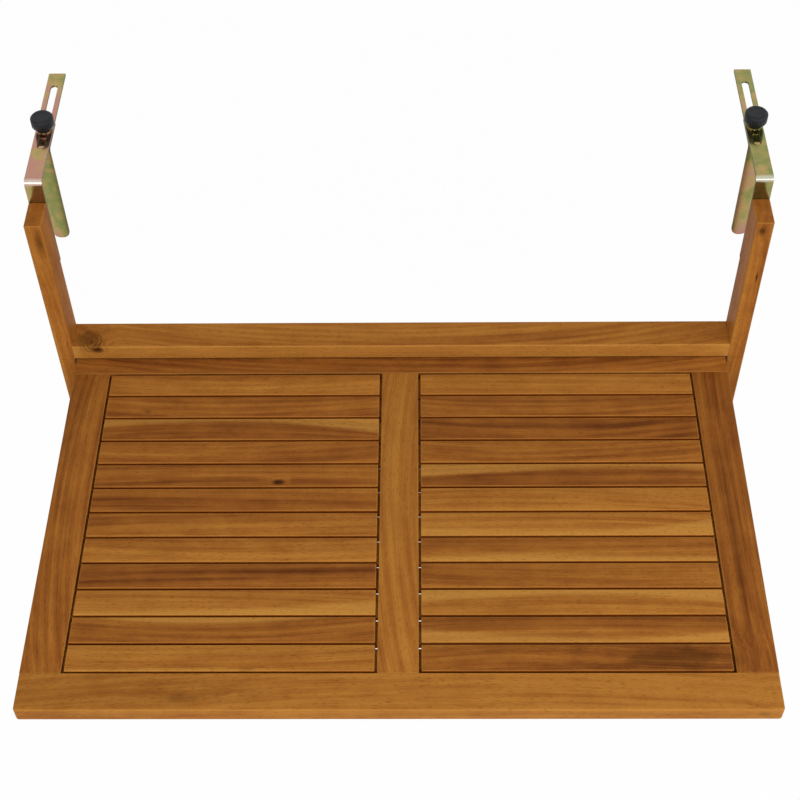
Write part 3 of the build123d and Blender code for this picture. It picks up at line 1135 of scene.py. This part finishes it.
def set_heads(table, node, blank, fasteners, group, identifiers):
    """Set a copy of the blank at each of a group's places."""
    shape = bmesh.new()
    for fastener in fasteners:
        shape.verts.new(fastener.place)
    made = new_object(f"{node}_set", shape)
    out = made.data.attributes.new("out", "FLOAT_VECTOR", "POINT")
    for entry, fastener in zip(out.data, fasteners):
        entry.vector = fastener.out
    smooth(blank.data, 30)
    run_group(
        made, group, identifiers,
        {"Fastener": blank, "Seed": len(fasteners), "Material": steel_of(table)},
    )
    drop(blank)
    place_in_frame(made, "fastener_steel", node)


class BALCONY_OT_fasteners(bpy.types.Operator):
    """Set the screws and bolts, and finish the washers, nuts, inserts and dowels"""

    bl_idname = "balcony.fasteners"
    bl_label = "Fasteners"

    def execute(self, context):
        table = context.scene.balcony_table
        group, identifiers = head_group()
        for node, facing in screw_groups.items():
            fasteners = fasteners_in(node, facing)
            head, span = fasteners[0].radius, fasteners[0].span
            blank = screw_blank(head, head / 2, span)
            set_heads(table, node, blank, fasteners, group, identifiers)
        for node, facing in bolt_groups.items():
            fasteners = fasteners_in(node, facing)
            head, span = fasteners[0].radius, fasteners[0].span
            blank = bolt_blank(head, 0.6 * head, span, head)
            set_heads(table, node, blank, fasteners, group, identifiers)
        plain = ["prop_nuts", "pivot_inserts"]
        plain += [f"{side}_clamp_{kind}" for side in sides for kind in ("nut", "washer")]
        for node in plain:
            self.finish_node(node, steel_of(table))
        for node in ("pivot_washers", "prop_washers"):
            self.finish_node(node, black_of(table))
        self.finish_node("frame_dowels", bare_dowel(table.wood))
        return {"FINISHED"}

    @staticmethod
    def finish_node(node, material):
        """Give a solid that stays as it is a better material."""
        for place in frame["nodes"][node].material_slots:
            place.material = material


def lamp(name, place, aim, width, height, power):
    """A soft box that points at a place."""
    light = bpy.data.lights.new(name, "AREA")
    light.shape = "RECTANGLE"
    light.size = width
    light.size_y = height
    light.energy = power
    made = bpy.data.objects.new(name, light)
    made.location = place
    made.rotation_euler = (Vector(aim) - Vector(place)).to_track_quat("-Z", "Y").to_euler()
    bpy.context.scene.collection.objects.link(made)


def seen_directly(tree):
    """1 for rays from the camera, from a mirror and through glass."""
    path = tree.node("ShaderNodeLightPath").socket.node
    kinds = ("Is Camera Ray", "Is Glossy Ray", "Is Transmission Ray")
    first, second, third = (Value(tree, path.outputs[kind]) for kind in kinds)
    return first.math("MAXIMUM", second).math("MAXIMUM", third)


class BALCONY_OT_stage(bpy.types.Operator):
    """Set up the floor, the light and the camera"""

    bl_idname = "balcony.stage"
    bl_label = "Stage"

    def execute(self, context):
        stage = context.scene.balcony_table.stage
        self.lay_floor(stage)
        self.light(context.scene, stage)
        self.aim_camera(context.scene, stage)
        return {"FINISHED"}

    @staticmethod
    def lay_floor(stage):
        """A white floor that keeps a faint shadow."""
        material, tree = new_material("white_floor")
        matt = tree.node("ShaderNodeBsdfDiffuse", None, {"Color": (0.9, 0.9, 0.9, 1)})
        white = tree.node("ShaderNodeEmission", None, {"Color": (1, 1, 1, 1), "Strength": 1.0})
        mixed = tree.node(
            "ShaderNodeMixShader", None, {0: seen_directly(tree) * 0.97, 1: matt, 2: white}
        )
        tree.node("ShaderNodeOutputMaterial", None, {"Surface": mixed})
        shape = bmesh.new()
        bmesh.ops.create_grid(shape, x_segments=1, y_segments=1, size=8)
        floor = new_object("floor", shape, material)
        floor.location.z = -stage.floor_height

    @staticmethod
    def light(scene, stage):
        """Soft light from all round, from above in front and from the right."""
        world = bpy.data.worlds.new("studio")
        world.use_nodes = True
        world.node_tree.nodes.clear()
        tree = Tree(world.node_tree)
        seen = seen_directly(tree)
        strength = seen * (1 - stage.ambient) + stage.ambient
        background = tree.node(
            "ShaderNodeBackground", None, {"Color": (1, 1, 1, 1), "Strength": strength}
        )
        tree.node("ShaderNodeOutputWorld", None, {"Surface": background})
        scene.world = world
        top_middle = (0, -0.2, -0.2)
        lamp("key_lamp", (-0.2, -2.2, 1.1), top_middle, 2.2, 0.6, stage.key)
        lamp("fill_lamp", (1.7, -0.7, 0.6), top_middle, 0.8, 0.8, stage.fill)

    @staticmethod
    def aim_camera(scene, stage):
        """A camera in front of the top, looking down at it."""
        data = bpy.data.cameras.new("camera")
        data.lens = stage.lens
        data.sensor_width = 36
        data.clip_end = 50
        camera = bpy.data.objects.new("camera", data)
        turn = (
            Matrix.Rotation(math.radians(1.170), 4, "Z")
            @ Matrix.Rotation(math.radians(40.087), 4, "X")
            @ Matrix.Rotation(math.radians(-1.0965), 4, "Z")
        )
        camera.matrix_world = Matrix.Translation((0.01863, -0.99342, 0.89230)) @ turn
        scene.collection.objects.link(camera)
        scene.camera = camera
        scene.view_settings.view_transform = "Standard"


operators = (
    BALCONY_OT_tabletop_frame,
    BALCONY_OT_slats,
    BALCONY_OT_hanging_frame,
    BALCONY_OT_folding_prop,
    BALCONY_OT_straps,
    BALCONY_OT_knobs,
    BALCONY_OT_studs,
    BALCONY_OT_fasteners,
    BALCONY_OT_stage,
)


class BALCONY_PT_table(bpy.types.Panel):
    """Lists the steps that dress the table"""

    bl_idname = "BALCONY_PT_table"
    bl_label = "Balcony Table"
    bl_space_type = "VIEW_3D"
    bl_region_type = "UI"
    bl_category = "Balcony Table"

    def draw(self, context):
        for step in operators:
            self.layout.operator(step.bl_idname)


classes = (
    WoodSettings,
    SlatSettings,
    PlateSettings,
    KnobSettings,
    StageSettings,
    TableSettings,
    *operators,
    BALCONY_PT_table,
)


def register():
    for item in classes:
        bpy.utils.register_class(item)
    bpy.types.Scene.balcony_table = PointerProperty(type=TableSettings)


def unregister():
    del bpy.types.Scene.balcony_table
    for item in reversed(classes):
        bpy.utils.unregister_class(item)


def main():
    register()
    for step in operators:
        area, name = step.bl_idname.split(".")
        getattr(getattr(bpy.ops, area), name)()


if __name__ == "__main__":
    main()
